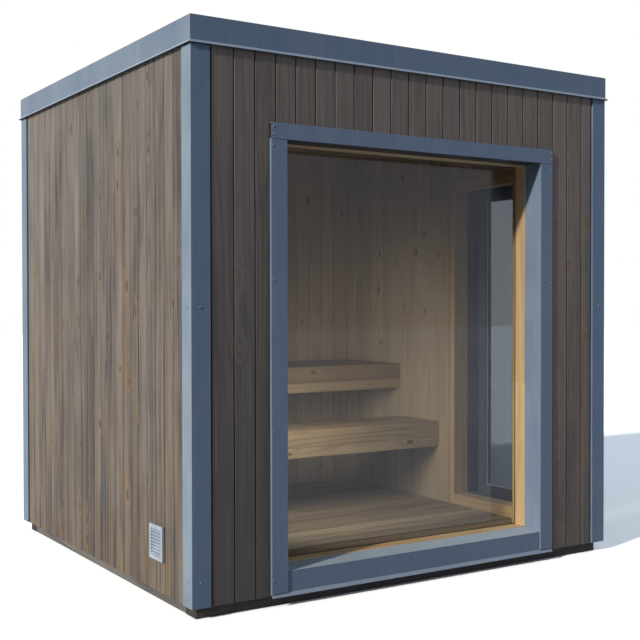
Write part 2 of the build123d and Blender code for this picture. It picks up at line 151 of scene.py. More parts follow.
# Screws, in metres
SCREW_RADIUS = 0.0042
SCREW_HEIGHT = 0.0026
SCREW_SIDES = 12
SCREW_RINGS = ((1.25, 0.0), (1.25, 0.28), (1.0, 0.34), (0.92, 0.72), (0.6, 1.0), (0.4, 1.0),
               (0.34, 0.55))   # shares of the radius and the height
TRIM_SCREWS = (0.101, 1.19)    # heights over the trims' foot
TRIM_INSET = 0.040
CASING_SCREWS = (0.065, 0.68, 1.3, 1.85)
CASING_INSET = 0.010
HEAD_INSETS = (0.012, 0.018)   # from the ends and from the long edges

# Roof strips, in metres
STRIP_COVER = 0.70
LAP_WIDTH = 0.09
LAP_THICKNESS = 0.003

# Camera that took the picture: metres, radians and pixels
CAMERA_PLACE = (-3.0205, -4.9249, 1.2558)
CAMERA_YAW = 0.5692
CAMERA_PITCH = -0.0156
CAMERA_ROLL = -0.0014
FOCAL_PIXELS = 1089.31
FRAME_PIXELS = 640
SENSOR_WIDTH = 36.0

# Ends of the window's sill, in metres
CASING_FACE = 0.0764           # width of a jamb's face, up to the reveal
SILL_KICK = 0.011              # how far the lip stands out under the sill
SILL_SLOPE = 0.009
TAB_THICKNESS = 0.0010
TAB_STAND = 0.0004
TAB_LAP = 0.003
TAB_BACK = 0.002

# Where the painted metal gets chalky bleach and painted sunlight, from not at all to fully, in
# metres
LEFT_WALL_X = (-1.0, -1.05)
LEFT_CORNER_Y = (-0.96, -0.985)
TRIM_TOP_Z = (2.275, 2.265)

VENT_SHADE_DEPTHS = (0.003, 0.014)   # depths between which the vent's slats turn dark with painted shade

# Light; the spreads are in degrees
SUN_PLACE = (0.0, 0.0, 5.0)
SUN_TRAVEL = (0.86, 0.24, -0.46)
SUN_STRENGTH = 3.4
SUN_COLOUR = (1.0, 0.95, 0.87)
SUN_SPREAD = 3.0
FILL_TRAVEL = (-0.72, -0.5, -0.48)
FILL_STRENGTH = 0.9
FILL_COLOUR = (0.97, 0.98, 1.0)
FILL_SPREAD = 60.0
ROOM_LAMP = (-0.6, -0.5, 1.0)
ROOM_TRAVEL = (0.85, 0.35, -0.5)
ROOM_POWER = 5.2
ROOM_COLOUR = (1.0, 0.96, 0.88)
ROOM_SPREAD = 110.0
ROOM_SIZE = (0.5, 0.6)
SKY_LEVEL = 0.28
SKY_COLOUR = (0.74, 0.9, 1.12, 1.0)
WHITE = (1.0, 1.0, 1.0, 1.0)
FLOOR_REACH = 40.0
FLOOR_LIT = (0.15, 0.15, 0.15, 1.0)
FLOOR_SEEN = (1.62, 1.62, 1.62, 1.0)


class Graph:
    """Builds the node tree of a material, or of the surround, from short calls."""

    def __init__(self, holder):
        holder.use_nodes = True
        self.holder = holder
        self.tree = holder.node_tree
        self.tree.nodes.clear()

    def node(self, kind, inputs=None, **settings):
        """A node with its settings made and its inputs fed by name or number."""
        made = self.tree.nodes.new(kind)
        for key, value in settings.items():
            setattr(made, key, value)
        for key, value in (inputs or {}).items():
            self.feed(made.inputs[key], value)
        return made

    def feed(self, socket, value):
        """Links another socket to this one, or sets a constant on it."""
        if isinstance(value, bpy.types.NodeSocket):
            self.tree.links.new(value, socket)
        else:
            socket.default_value = value

    def place(self):
        """The point that is shaded, in metres from the object's origin."""
        return self.node("ShaderNodeTexCoord").outputs["Object"]

    def attribute(self, name):
        """A vector that every corner of the mesh carries."""
        return self.node("ShaderNodeAttribute", attribute_name=name).outputs["Vector"]

    def split(self, vector):
        """The three parts of a vector."""
        return self.node("ShaderNodeSeparateXYZ", {0: vector}).outputs

    def scaled(self, vector, factors):
        """A vector with each part times its own factor."""
        made = self.node("ShaderNodeVectorMath", {0: vector, 1: factors}, operation="MULTIPLY")
        return made.outputs[0]

    def math(self, operation, first, second=0.0):
        """One step of arithmetic."""
        return self.node("ShaderNodeMath", {0: first, 1: second}, operation=operation).outputs[0]

    def about_half(self, value, gain):
        """How far a value lies from a half, times the gain."""
        return self.math("MULTIPLY", self.math("SUBTRACT", value, 0.5), gain)

    def span(self, value, low, high, new_low=0.0, new_high=1.0):
        """Moves a value from one range to another, clamped at both ends."""
        inputs = {"Value": value, "From Min": low, "From Max": high,
                  "To Min": new_low, "To Max": new_high}
        return self.node("ShaderNodeMapRange", inputs).outputs["Result"]

    def noise(self, vector, scale=1.0, detail=2.0, roughness=0.5):
        """Cloudy values around a half."""
        inputs = {"Vector": vector, "Scale": scale, "Detail": detail, "Roughness": roughness}
        return self.node("ShaderNodeTexNoise", inputs).outputs["Fac"]

    def mix(self, factor, first, second):
        """The first colour at a factor of 0, the second one at 1."""
        made = self.node("ShaderNodeMix", data_type="RGBA")
        for index, value in ((0, factor), (6, first), (7, second)):
            self.feed(made.inputs[index], value)
        return made.outputs[2]

    def bump(self, height, strength, distance):
        """The normal of a surface that rises by a distance where the height is 1."""
        inputs = {"Height": height, "Strength": strength, "Distance": distance}
        return self.node("ShaderNodeBump", inputs).outputs["Normal"]

    def surface(self, colour, roughness, normal, **constants):
        """Ends the tree in one surface shader and gives the material."""
        inputs = {"Base Color": colour, "Roughness": roughness, "Normal": normal}
        inputs.update({key.replace("_", " "): value for key, value in constants.items()})
        self.output(self.node("ShaderNodeBsdfPrincipled", inputs).outputs[0])
        return self.holder

    def output(self, shader, kind="ShaderNodeOutputMaterial"):
        """Ends the tree in a shader."""
        self.node(kind, {"Surface": shader})


def rgb(red, green, blue):
    """A colour as it is read on a screen, 0 to 255, as linear light."""
    def linear(value):
        part = value / 255
        return part / 12.92 if part <= 0.04045 else ((part + 0.055) / 1.055) ** 2.4
    return (linear(red), linear(green), linear(blue), 1.0)


def wood(name, pale, deep, knot, stain, knot_share, rings, fibre, blotch, stain_share,
         roughness):
    """Boards with fibre, growth rings, knots and patches; each brings its own grain and shade."""
    graph = Graph(bpy.data.materials.new(name))
    grain = graph.attribute("grain")
    tone, warmth, bleach = graph.split(graph.attribute("shade"))

    across, _, along = graph.split(grain)
    flat = graph.node("ShaderNodeCombineXYZ", {"X": graph.math("MULTIPLY", across, KNOT_CELLS[0]),
                                               "Y": graph.math("MULTIPLY", along, KNOT_CELLS[1])})
    cells = graph.node("ShaderNodeTexVoronoi", {"Vector": flat.outputs[0], "Scale": 1.0,
                                                "Randomness": 1.0}, voronoi_dimensions="2D")
    lot = graph.split(cells.outputs["Color"])[0]
    kept = graph.math("LESS_THAN", lot, knot_share)
    reach = graph.span(lot, 0.0, knot_share, *KNOT_RADII)
    near = graph.math("DIVIDE", cells.outputs["Distance"], reach)
    core = graph.math("MULTIPLY", graph.span(near, 1.0, 0.72), kept)
    rim = graph.math("MULTIPLY", graph.span(near, 1.5, 0.95), kept)
    halo = graph.math("MULTIPLY", graph.span(near, 5.0, 0.6), kept)

    slow = graph.noise(graph.scaled(grain, (7.0, 7.0, 0.45)), detail=2.0)
    order = graph.math("ADD", graph.math("MULTIPLY", slow, 9.0), graph.math("MULTIPLY", halo, 1.3))
    order = graph.math("ADD", order, graph.math("MULTIPLY", across, RINGS_ACROSS))
    wave = graph.math("SINE", graph.math("MULTIPLY", order, math.tau))
    late = graph.span(wave, 0.1, 1.0)
    fine = graph.noise(graph.scaled(grain, (420.0, 420.0, 7.0)), detail=3.0, roughness=0.6)
    streak = graph.noise(graph.scaled(grain, (55.0, 55.0, 1.1)), detail=3.0, roughness=0.6)
    patch = graph.noise(graph.scaled(grain, (9.0, 9.0, 1.6)), detail=4.0, roughness=0.6)

    level = graph.math("ADD", graph.about_half(patch, blotch * 2), tone)
    level = graph.math("SUBTRACT", level, graph.math("MULTIPLY", late, rings))
    level = graph.math("ADD", level, graph.about_half(fine, fibre * 2))
    level = graph.math("ADD", level, graph.about_half(streak, fibre * 2))
    colour = graph.mix(graph.span(level, 0.0, 1.0), deep, pale)
    stained = graph.math("MULTIPLY", graph.span(streak, 0.42, 0.66), stain_share)
    stained = graph.math("MULTIPLY", graph.math("ADD", stained, graph.math("MULTIPLY", halo, 0.5)),
                         warmth)
    colour = graph.mix(graph.span(stained, 0.0, 1.0), colour, stain)
    colour = graph.mix(graph.math("MULTIPLY", bleach, graph.span(patch, 0.45, 0.7)), colour, pale)
    colour = graph.mix(graph.math("MULTIPLY", rim, 0.55), colour, deep)
    colour = graph.mix(graph.math("MULTIPLY", core, 0.8), colour, knot)

    height = graph.math("ADD", graph.math("MULTIPLY", fine, 0.5), graph.math("MULTIPLY", late, -0.4))
    height = graph.math("ADD", height, graph.math("MULTIPLY", core, 0.5))
    rough = graph.span(fine, 0.3, 0.7, roughness - 0.08, roughness + 0.1)
    return graph.surface(colour, rough, graph.bump(height, 0.6, GRAIN_RELIEF))


def painted_metal(name, colour, chalk, patches=0.1):
    """Folded sheet with a baked coating: patches, rain marks and a fine skin; chalk with painted
    sunlight on faces to the left and on tops, painted shade on faces turned down.
    """
    graph = Graph(bpy.data.materials.new(name))
    place = graph.place()
    cloud = graph.noise(graph.scaled(place, (5.0, 5.0, 2.2)), detail=4.0, roughness=0.62)
    runs = graph.noise(graph.scaled(place, (46.0, 46.0, 1.3)), detail=2.0)
    specks = graph.noise(place, 260.0, 2.0, 0.6)
    facing = graph.split(graph.node("ShaderNodeNewGeometry").outputs["Normal"])
    spots = graph.noise(graph.scaled(place, (5.0, 5.0, 3.0)), detail=2.0)
    # faces to the left grow paler: chalky bleach, and painted sunlight where the key light falls
    bleach_and_painted_sun = graph.math("MULTIPLY", graph.span(facing[0], -0.5, -0.9),
                          graph.span(spots, 0.3, 0.65, 0.5, 1.1))
    x, y, z = graph.split(place)
    sunny = graph.span(x, *LEFT_WALL_X, *SUNNY_SHARE)
    corner = graph.math("MULTIPLY", graph.span(y, *LEFT_CORNER_Y), graph.span(z, *TRIM_TOP_Z))
    corner = graph.math("MULTIPLY", corner, graph.span(x, *LEFT_WALL_X, 0.0, CORNER_SHARE))
    bleach_and_painted_sun = graph.math("MULTIPLY", bleach_and_painted_sun, graph.math("ADD", sunny, corner))
    wear_and_painted_light = graph.math("MULTIPLY", graph.span(cloud, 0.42, 0.72), patches)
    wear_and_painted_light = graph.math("ADD", wear_and_painted_light, graph.math("MULTIPLY", bleach_and_painted_sun, LEFT_CHALK_AND_SUNLIGHT))
    # tops grow paler: dust, and painted sunlight
    wear_and_painted_light = graph.math("ADD", wear_and_painted_light, graph.span(facing[2], 0.3, 0.9, 0.0, UPWARD_DUST_AND_LIGHT))
    wear_and_painted_light = graph.math("ADD", wear_and_painted_light, graph.span(runs, 0.5, 0.8, 0.0, RUN_CHALK))
    wear_and_painted_light = graph.math("ADD", wear_and_painted_light, graph.span(specks, 0.66, 0.76, 0.0, SPECK_CHALK))
    shade = graph.mix(wear_and_painted_light, colour, chalk)
    # faces turned down get painted shade, near black
    shade = graph.mix(graph.span(facing[2], -0.6, -0.95), shade, rgb(*PAINTED_UNDERSIDE_SHADE))
    rough = graph.span(graph.math("ADD", cloud, graph.math("MULTIPLY", specks, 0.2)), 0.4, 0.8,
                       PAINT_ROUGHNESS - 0.07, PAINT_ROUGHNESS + 0.12)
    skin = graph.noise(place, 620.0, 1.0)
    waves = graph.math("MULTIPLY", graph.noise(place, 3.2, 1.0), 6.0)
    normal = graph.bump(graph.math("ADD", skin, waves), 0.12, SKIN_RELIEF)
    return graph.surface(shade, rough, normal, Specular_IOR_Level=PAINT_GLOSS)


def louvred_metal(name, colour, chalk, painted_shade):
    """Pale sheet whose slats get painted shade towards the gap behind them."""
    graph = Graph(bpy.data.materials.new(name))
    place = graph.place()
    cloud = graph.noise(place, 30.0, 3.0, 0.6)
    shade = graph.mix(graph.span(cloud, 0.4, 0.7), colour, chalk)
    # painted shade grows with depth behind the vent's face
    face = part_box("vent_grille")[0].x
    inside = graph.span(graph.split(place)[0], *[face + depth for depth in VENT_SHADE_DEPTHS])
    shade = graph.mix(inside, shade, painted_shade)
    grain = graph.noise(place, 700.0, 2.0)
    rough = graph.span(cloud, 0.3, 0.7, 0.4, 0.55)
    return graph.surface(shade, rough, graph.bump(grain, 0.2, 0.0002))


def bare_metal(name, colour, dull):
    """Brushed steel."""
    graph = Graph(bpy.data.materials.new(name))
    place = graph.place()
    brushed = graph.noise(graph.scaled(place, (900.0, 900.0, 30.0)), detail=2.0)
    cloud = graph.noise(place, 22.0, 3.0, 0.6)
    shade = graph.mix(graph.span(cloud, 0.35, 0.7), colour, dull)
    rough = graph.span(brushed, 0.3, 0.7, STEEL_ROUGHNESS - 0.08, STEEL_ROUGHNESS + 0.12)
    return graph.surface(shade, rough, graph.bump(brushed, 0.15, 0.0002), Metallic=0.9)


def sheet_board(name, pale, deep, roughness=0.75):
    """Pressed board and membrane: an even mottle with small grit."""
    graph = Graph(bpy.data.materials.new(name))
    place = graph.place()
    grit = graph.noise(place, 340.0, 3.0, 0.65)
    cloud = graph.noise(place, 4.0, 4.0, 0.6)
    level = graph.math("ADD", graph.math("MULTIPLY", grit, 0.45), graph.math("MULTIPLY", cloud, 0.6))
    shade = graph.mix(graph.span(level, 0.35, 0.75), deep, pale)
    rough = graph.span(grit, 0.3, 0.7, roughness - 0.05, roughness + 0.1)
    return graph.surface(shade, rough, graph.bump(grit, 0.4, 0.0012))


def clear_glass(name, tint, gloss):
    """A pane that lets light through and mirrors more towards its edges."""
    graph = Graph(bpy.data.materials.new(name))
    place = graph.place()
    haze = graph.span(graph.noise(place, 2.4, 4.0, 0.6), 0.35, 0.75, 0.0, GLASS_HAZE)
    through = graph.node("ShaderNodeBsdfTransparent", {"Color": tint}).outputs[0]
    mirror = graph.node("ShaderNodeBsdfGlossy", {"Color": gloss, "Roughness": 0.02}).outputs[0]
    dust = graph.node("ShaderNodeBsdfDiffuse", {"Color": rgb(215, 215, 215)}).outputs[0]
    behind = graph.node("ShaderNodeNewGeometry").outputs["Backfacing"]
    share = graph.node("ShaderNodeFresnel", {"IOR": GLASS_BEND}).outputs[0]
    share = graph.math("MULTIPLY", share, GLASS_MIRROR)
    share = graph.math("MULTIPLY", share, graph.math("SUBTRACT", 1.0, behind))
    coated = graph.node("ShaderNodeMixShader", {0: share, 1: through, 2: mirror}).outputs[0]
    graph.output(graph.node("ShaderNodeMixShader", {0: haze, 1: coated, 2: dust}).outputs[0])
    return graph.holder


def rubber(name):
    """The black seal against the window's pane."""
    graph = Graph(bpy.data.materials.new(name))
    grit = graph.noise(graph.place(), 500.0, 2.0)
    shade = graph.mix(graph.span(grit, 0.35, 0.7), rgb(22, 22, 24), rgb(38, 38, 40))
    return graph.surface(shade, 0.6, graph.bump(grit, 0.2, 0.0003))


cladding_front = wood("cladding_front", pale=rgb(108, 100, 98), deep=rgb(40, 37, 38),
                      knot=rgb(88, 68, 52), stain=rgb(106, 91, 76), knot_share=0.4, rings=0.2,
                      fibre=0.32, blotch=0.4, stain_share=0.7, roughness=0.62)
cladding_left = wood("cladding_left", pale=rgb(133, 125, 117), deep=rgb(52, 49, 50),
                     knot=rgb(76, 56, 43), stain=rgb(124, 100, 72), knot_share=0.4, rings=0.22,
                     fibre=0.5, blotch=0.7, stain_share=0.85, roughness=0.66)
lining_wood = wood("lining_wood", pale=rgb(200, 181, 152), deep=rgb(160, 137, 108),
                   knot=rgb(126, 84, 50), stain=rgb(206, 152, 96), knot_share=0.3, rings=0.2,
                   fibre=0.14, blotch=0.2, stain_share=0.4, roughness=0.5)
frame_pine = wood("frame_pine", pale=rgb(196, 171, 130), deep=rgb(160, 130, 90),
                  knot=rgb(140, 92, 54), stain=rgb(206, 158, 102), knot_share=0.2, rings=0.3,
                  fibre=0.12, blotch=0.2, stain_share=0.4, roughness=0.42)
bench_wood = wood("bench_wood", pale=rgb(186, 162, 124), deep=rgb(132, 110, 80),
                  knot=rgb(96, 68, 44), stain=rgb(172, 136, 90), knot_share=0.12, rings=0.4,
                  fibre=0.3, blotch=0.25, stain_share=0.5, roughness=0.5)
floor_wood = wood("floor_wood", pale=rgb(184, 164, 132), deep=rgb(120, 102, 80),
                  knot=rgb(92, 68, 46), stain=rgb(160, 130, 92), knot_share=0.2, rings=0.4,
                  fibre=0.25, blotch=0.4, stain_share=0.5, roughness=0.6)
base_timber = wood("base_timber", pale=rgb(134, 130, 127), deep=rgb(30, 30, 34),
                   knot=rgb(24, 22, 20), stain=rgb(88, 78, 70), knot_share=0.2, rings=0.3,
                   fibre=0.3, blotch=0.5, stain_share=0.5, roughness=0.8)
slate = painted_metal("slate_metal", rgb(84, 103, 129), rgb(172, 186, 196))
casing_paint = painted_metal("casing_metal", rgb(90, 107, 132), rgb(172, 186, 196))
door_paint = painted_metal("door_metal", rgb(78, 84, 96), rgb(104, 110, 122), 0.15)
# its last colour is the painted shade deep between the slats
vent_finish = louvred_metal("vent_metal", rgb(158, 171, 186), rgb(184, 195, 206), rgb(66, 80, 102))
bead_paint = painted_metal("bead_metal", rgb(140, 148, 158), rgb(190, 196, 202))
steel = bare_metal("handle_steel", rgb(196, 196, 196), rgb(164, 166, 168))
panel = sheet_board("wall_panel", rgb(96, 84, 70), rgb(58, 50, 42))
membrane = sheet_board("roof_membrane", rgb(96, 98, 102), rgb(50, 52, 56), 0.85)
seal = rubber("black_seal")
window_pane = clear_glass("window_pane", (0.94, 0.955, 0.95, 1.0), rgb(150, 155, 165))
door_pane = clear_glass("door_pane", rgb(168, 172, 176), rgb(150, 155, 165))


def placer(depth_axis, face, inward, run_axis):
    """Turns across, depth and along of a board into a point, for the boards of one plane."""
    across_axis = 3 - depth_axis - run_axis

    def place(across, depth, along):
        point = [0.0, 0.0, 0.0]
        point[across_axis] = across
        point[depth_axis] = face + inward * depth
        point[run_axis] = along
        return Vector(point)
    return place


class Boards:
    """One mesh of many planks, each with its own stretch of grain and its own shade."""

    def __init__(self, lift=(0.0, 0.0)):
        self.lift = lift
        self.mesh = bmesh.new()
        self.grain = self.mesh.verts.layers.float_vector.new("grain")
        self.shade = self.mesh.verts.layers.float_vector.new("shade")

    def plank(self, place, across, along, outline, shade, joint=None, slants=(0.0, 0.0)):
        """Draws a section out along a plank; its points are (from the plank's edge, depth)."""
        shift = Vector([dice.uniform(0, 40) for _ in range(3)])
        rings = []
        for run, slant in zip(along, slants):
            ring = []
            for step, depth in outline:
                vertex = self.mesh.verts.new(place(across + step, depth, run + slant * step))
                vertex[self.grain] = shift + Vector((step, depth, run - along[0]))
                tone, warmth = [gain * (run - MID_HEIGHT) for gain in self.lift]
                # the deep part of each joint is darkened: painted shadow with dirt
                if joint and depth > joint:
                    tone = JOINT_SHADOW_TONE
                vertex[self.shade] = shade + Vector((tone, warmth, 0.0))
                ring.append(vertex)
            rings.append(ring)
        count = len(outline)
        for index in range(count):
            after = (index + 1) % count
            self.mesh.faces.new((rings[0][index], rings[0][after], rings[1][after], rings[1][index]))
        self.mesh.faces.new(rings[0][::-1])
        self.mesh.faces.new(rings[1])

    def bar(self, low, high, run_axis, shade, ease=EDGE_ROUND, slants=(0.0, 0.0)):
        """A straight timber between two corners, with all four long edges eased."""
        depth_axis = next(axis for axis in (1, 2, 0) if axis != run_axis)
        across_axis = 3 - depth_axis - run_axis
        width = high[across_axis] - low[across_axis]
        thick = high[depth_axis] - low[depth_axis]
        ease = min(ease, width / 4, thick / 4)
        outline = [(ease, 0), (width - ease, 0), (width, ease), (width, thick - ease),
                   (width - ease, thick), (ease, thick), (0, thick - ease), (0, ease)]
        place = placer(depth_axis, low[depth_axis], 1, run_axis)
        self.plank(place, low[across_axis], (low[run_axis], high[run_axis]), outline, shade,
                   slants=slants)

    def finish(self, name, material, slot, replaced=(), body="cabin"):
        """Turns the planks into one piece of the scene."""
        bmesh.ops.recalc_face_normals(self.mesh, faces=self.mesh.faces)
        data = bpy.data.meshes.new(name)
        self.mesh.to_mesh(data)
        self.mesh.free()
        add_piece(name, data, material, replaced, body)


def add_piece(name, data, material, replaced=(), body="cabin"):
    """Puts a mesh into the scene, on its body and in place of the nodes that it replaces."""
    piece = bpy.data.objects.new(name, data)
    bpy.context.scene.collection.objects.link(piece)
    data.materials.append(material)
    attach(piece, body)
    if replaced:
        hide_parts(*replaced)


def board_shade(low, high, warm=MOST_WARMTH, bleach=0.0):
    """A drawn shade: tone from low to high, warmth up to warm and bleach share up to bleach."""
    return Vector((dice.uniform(low, high), dice.uniform(0.0, warm), dice.uniform(0.0, bleach)))


def left_over(across, along, holes):
    """Rectangles left of one board after the openings are cut out of it."""
    parts = [(across, along)]
    for hole_across, hole_along in holes:
        kept = []
        for (a0, a1), (b0, b1) in parts:
            c0, c1 = max(a0, hole_across[0]), min(a1, hole_across[1])
            d0, d1 = max(b0, hole_along[0]), min(b1, hole_along[1])
            if c0 >= c1 or d0 >= d1:
                kept.append(((a0, a1), (b0, b1)))
                continue
            kept += [((a0, a1), (b0, d0)), ((a0, a1), (d1, b1))]
            kept += [((a0, c0), (d0, d1)), ((c1, a1), (d0, d1))]
        parts = kept
    return [part for part in parts if all(high - low > SHORTEST_PIECE for low, high in part)]


def board_wall(node, face, inward, depth_axis, run_axis, pitch, gap, thickness, chamfer,
               shade, first=None, holes=(), lift=(0.0, 0.0)):
    """Boards over the plane of one node, meeting in chamfered joints with a tongue behind."""
    low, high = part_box(node)
    across_axis = 3 - depth_axis - run_axis
    start, end = low[across_axis], high[across_axis]
    seams = [start]
    seam = start + pitch if first is None else first
    while seam < end - SLIMMEST_BOARD:
        seams.append(seam)
        seam += pitch
    seams.append(end)
    place = placer(depth_axis, face, inward, run_axis)
    tongue_front, tongue_back = [thickness * share for share in TONGUE_SPAN]
    boards = Boards(lift)
    for edge, after in zip(seams, seams[1:]):
        look = shade(edge)
        last = after == end
        span = (edge, after if last else after - gap)
        for (a0, a1), along in left_over(span, (low[run_axis], high[run_axis]), holes):
            width = a1 - a0
            outline = [(chamfer, 0), (width - chamfer, 0), (width, chamfer)]
            if a1 == span[1] and not last:
                outline += [(width, tongue_front), (width + gap, tongue_front),
                            (width + gap, tongue_back), (width, tongue_back)]
            outline += [(width, thickness), (0, thickness), (0, chamfer)]
            boards.plank(place, a0, along, outline, look, thickness * JOINT_SHADOW_SHARE)
    return boards


def hole_of(node, across_axis, run_axis, shrink=0.0):
    """The opening that a node fills, as spans across and along the boards."""
    low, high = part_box(node)
    return ((low[across_axis] + shrink, high[across_axis] - shrink),
            (low[run_axis] + shrink, high[run_axis] - shrink))


window_hole = hole_of("window_frame", 0, 2)
vent_hole = hole_of("vent_grille", 1, 2, VENT_LIP)
door_low, door_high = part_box("door_frame")
door_hole = ((door_low.y, door_high.y), (0.0, door_high.z))
front_low, front_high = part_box("front_cladding")


def front_shade(edge):
    """Boards get paler and browner towards the right of the front."""
    share = (edge - front_low.x) / (front_high.x - front_low.x)
    tone = dice.uniform(*FRONT_TONES) + FRONT_GAIN[0] * share
    return Vector((tone, dice.uniform(*FRONT_WARMTHS) + FRONT_GAIN[1] * share, 0.0))


def left_shade(_edge):
    """Boards on the sunny side are paler in places and streaked."""
    return Vector([dice.uniform(*span) for span in (LEFT_TONES, LEFT_WARMTHS, LEFT_BLEACH)])


def plain_shade(_edge):
    """Boards of the back and the right wall."""
    return board_shade(*PLAIN_TONES)


def lining_shade(_edge):
    """Boards inside the room."""
    return board_shade(*LINING_TONES, LINING_WARMTH)


def outer_walls():
    """The four walls of upright cladding boards."""
    left_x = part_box("left_cladding")[0].x
    right_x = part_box("right_cladding")[1].x
    back_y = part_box("back_cladding")[1].y
    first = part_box("corner_trims")[0].x + FIRST_FRONT_SEAM
    size = (BOARD_THICKNESS, BOARD_CHAMFER)
    front = board_wall("front_cladding", front_low.y, 1, 1, 2, FRONT_PITCH, FRONT_GAP, *size,
                       front_shade, first, [window_hole], FRONT_LIFT)
    front.finish("front_boards", cladding_front, "board_cladding", ["front_cladding"])
    left = board_wall("left_cladding", left_x, 1, 0, 2, LEFT_PITCH, LEFT_GAP, *size,
                      left_shade, None, [vent_hole], LEFT_LIFT)
    left.finish("left_boards", cladding_left, "board_cladding", ["left_cladding"])
    back = board_wall("back_cladding", back_y, -1, 1, 2, FRONT_PITCH, FRONT_GAP, *size,
                      plain_shade)
    back.finish("back_boards", cladding_front, "board_cladding", ["back_cladding"])
    right = board_wall("right_cladding", right_x, -1, 0, 2, FRONT_PITCH, FRONT_GAP, *size,
                       plain_shade, None, [door_hole])
    right.finish("right_boards", cladding_front, "board_cladding", ["right_cladding"])


def inner_walls():
    """Lining boards on the walls and the ceiling of the room."""
    size = (LINING_THICKNESS, LINING_CHAMFER)
    sides = [
        ("front_lining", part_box("front_lining")[1].y, -1, 1, 2, [window_hole]),
        ("back_lining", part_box("back_lining")[0].y, 1, 1, 2, []),
        ("left_lining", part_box("left_lining")[1].x, -1, 0, 2, [vent_hole]),
        ("right_lining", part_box("right_lining")[0].x, 1, 0, 2, [door_hole]),
        ("ceiling_lining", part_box("ceiling_lining")[0].z, 1, 2, 0, []),
    ]
    for node, face, inward, depth_axis, run_axis, holes in sides:
        boards = board_wall(node, face, inward, depth_axis, run_axis, LINING_PITCH,
                            LINING_GAP, *size, lining_shade, None, holes)
        boards.finish(node.replace("lining", "lining_boards"), lining_wood, "lining_wood", [node])


def spread(count, low, high, width):
    """Low edges of evenly spread pieces whose outer faces reach low and high."""
    step = (high - low - width) / (count - 1)
    return [low + step * index for index in range(count)]


def seats():
    """Bench seats of slats on cross bearers."""
    for node, count in SEAT_SLATS.items():
        low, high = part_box(node)
        boards = Boards()
        width = (high.y - low.y - SEAT_GAP * count) / count
        slat_foot = high.z - SEAT_THICKNESS
        for index in range(count):
            edge = low.y + SEAT_GAP + index * (width + SEAT_GAP)
            boards.bar((low.x, edge, slat_foot), (high.x, edge + width, high.z), 0,
                       board_shade(*SEAT_TONES))
        for edge in spread(BEARER_COUNT, low.x, high.x, BEARER_WIDTH):
            boards.bar((edge, low.y, low.z), (edge + BEARER_WIDTH, high.y, slat_foot), 1,
                       board_shade(*SEAT_BEARER_TONES))
        boards.finish(f"{node}_slats", bench_wood, "bench_wood", [node])


def solid_boxes(node):
    """Lowest and highest corner of each separate solid of a node."""
    mesh = bmesh.new()
    mesh.from_mesh(nodes[node].data)
    bmesh.ops.remove_doubles(mesh, verts=mesh.verts, dist=MERGE_DISTANCE)
    left = set(mesh.verts)
    boxes = []
    while left:
        group = [left.pop()]
        for vertex in group:
            for edge in vertex.link_edges:
                other = edge.other_vert(vertex)
                if other in left:
                    left.remove(other)
                    group.append(other)
        lows = [min(vertex.co[axis] for vertex in group) for axis in range(3)]
        highs = [max(vertex.co[axis] for vertex in group) for axis in range(3)]
        boxes.append((lows, highs))
    mesh.free()
    return sorted(boxes)


def straight_timbers(node, name, material, slot, run_axis, tones):
    """Each solid of a node as one timber with eased edges, its tone drawn between two tones."""
    boards = Boards()
    for lows, highs in solid_boxes(node):
        boards.bar(lows, highs, run_axis, board_shade(*tones))
    boards.finish(name, material, slot, [node])


def bench_fronts():
    """The board in front of each bench, made of two planks laid edge to edge."""
    boards = Boards()
    for lows, highs in solid_boxes("bench_fascias"):
        joint = lows[2] + (highs[2] - lows[2]) * FASCIA_JOINT
        upper = lows[2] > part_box("lower_bench")[1].z
        light, dark = UPPER_FRONT_TONES if upper else LOWER_FRONT_TONES
        boards.bar(lows, (highs[0], highs[1], joint - FASCIA_GAP), 0, Vector((light, 0.4, 0.0)),
                   PLANK_EASE)
        boards.bar((lows[0], lows[1], joint), highs, 0, Vector((dark, 0.5, 0.0)), PLANK_EASE)
    boards.finish("bench_front_boards", bench_wood, "bench_wood", ["bench_fascias"])


def floor_boards():
    """Duckboard slats from side to side, on bearers from front to back."""
    low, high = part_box("duckboard")
    boards = Boards()
    slat_foot = high.z - FLOOR_THICKNESS
    count = int((high.y - low.y + FLOOR_GAP) // (FLOOR_SLAT + FLOOR_GAP))
    for index, edge in enumerate(spread(count, low.y, high.y, FLOOR_SLAT)):
        look = Vector(PALE_SLAT_SHADE) if index == PALE_SLAT else board_shade(*FLOOR_TONES)
        boards.bar((low.x, edge, slat_foot), (high.x, edge + FLOOR_SLAT, high.z), 0, look)
    for edge in spread(BEARER_COUNT, low.x, high.x, BEARER_WIDTH):
        boards.bar((edge, low.y, low.z), (edge + BEARER_WIDTH, high.y, slat_foot), 1,
                   board_shade(*FLOOR_BEARER_TONES))
    boards.finish("duckboard_slats", floor_wood, "duckboard_wood", ["duckboard"])


def edge_strips(strips, low, high, width, across_axis, shade, ease):
    """Four straight pieces around an opening, inside of the box from low to high."""
    for side in (low[across_axis], high[across_axis] - width):
        foot, top = list(low), list(high)
        foot[across_axis], top[across_axis] = side, side + width
        strips.bar(foot, top, 2, shade, ease)
    for side in (low[2], high[2] - width):
        foot, top = list(low), list(high)
        foot[2], top[2] = side, side + width
        foot[across_axis] += width
        top[across_axis] -= width
        strips.bar(foot, top, across_axis, shade, ease)


